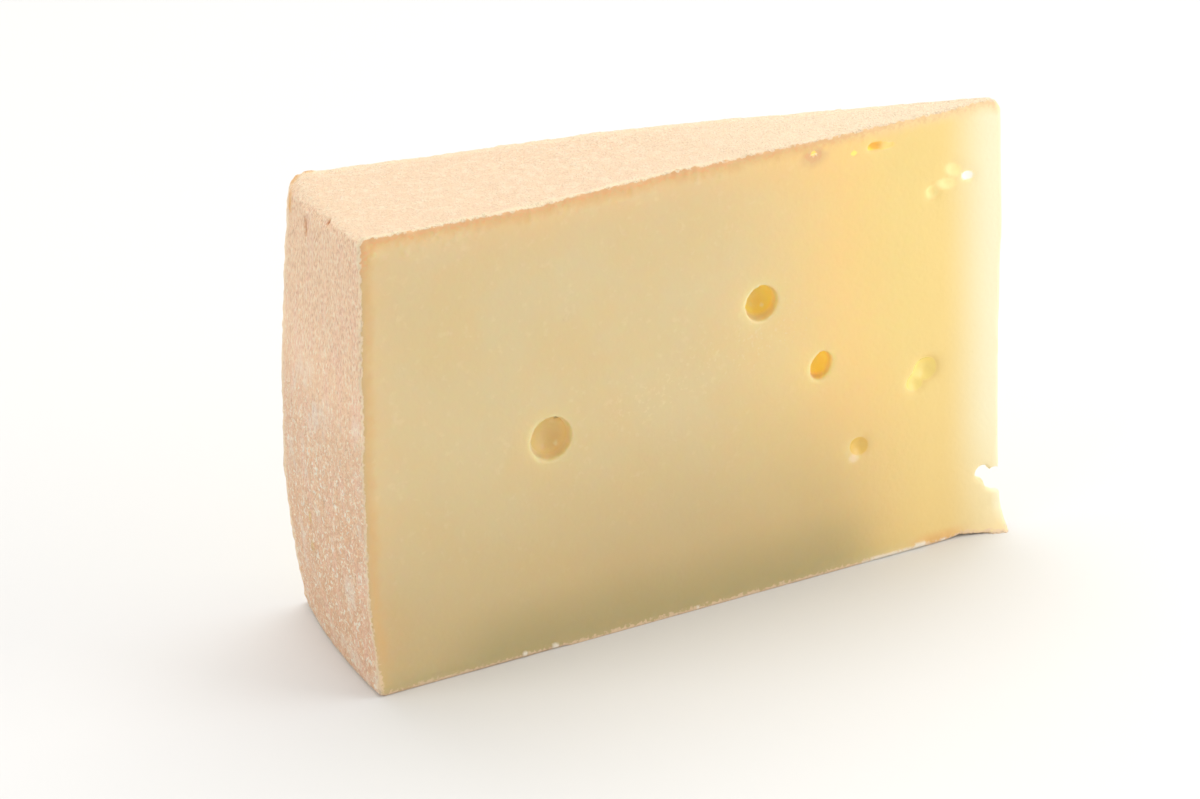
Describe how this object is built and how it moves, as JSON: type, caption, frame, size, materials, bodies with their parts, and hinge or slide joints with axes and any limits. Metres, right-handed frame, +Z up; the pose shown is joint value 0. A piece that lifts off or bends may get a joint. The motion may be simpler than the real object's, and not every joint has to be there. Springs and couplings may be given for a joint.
{
  "type": "cheese wedge",
  "caption": "Wedge cut from a round wheel of semi-hard cheese, with a washed rind on rim, top and base, smooth cut faces with round eyes, and a thin broken point.",
  "frame": {"origin": "centre of the wedge's box at the underside, on the surface it stands on", "axes": "+X from the rim of the wheel towards the thin point, +Y from the cut face with the large eyes towards the other cut face, +Z up"},
  "size_m": [0.123, 0.0392, 0.0818],
  "materials": {
    "cheese": null
  },
  "bodies": {
    "root": {"cheese_wedge": "cheese"}
  },
  "joints": []
}
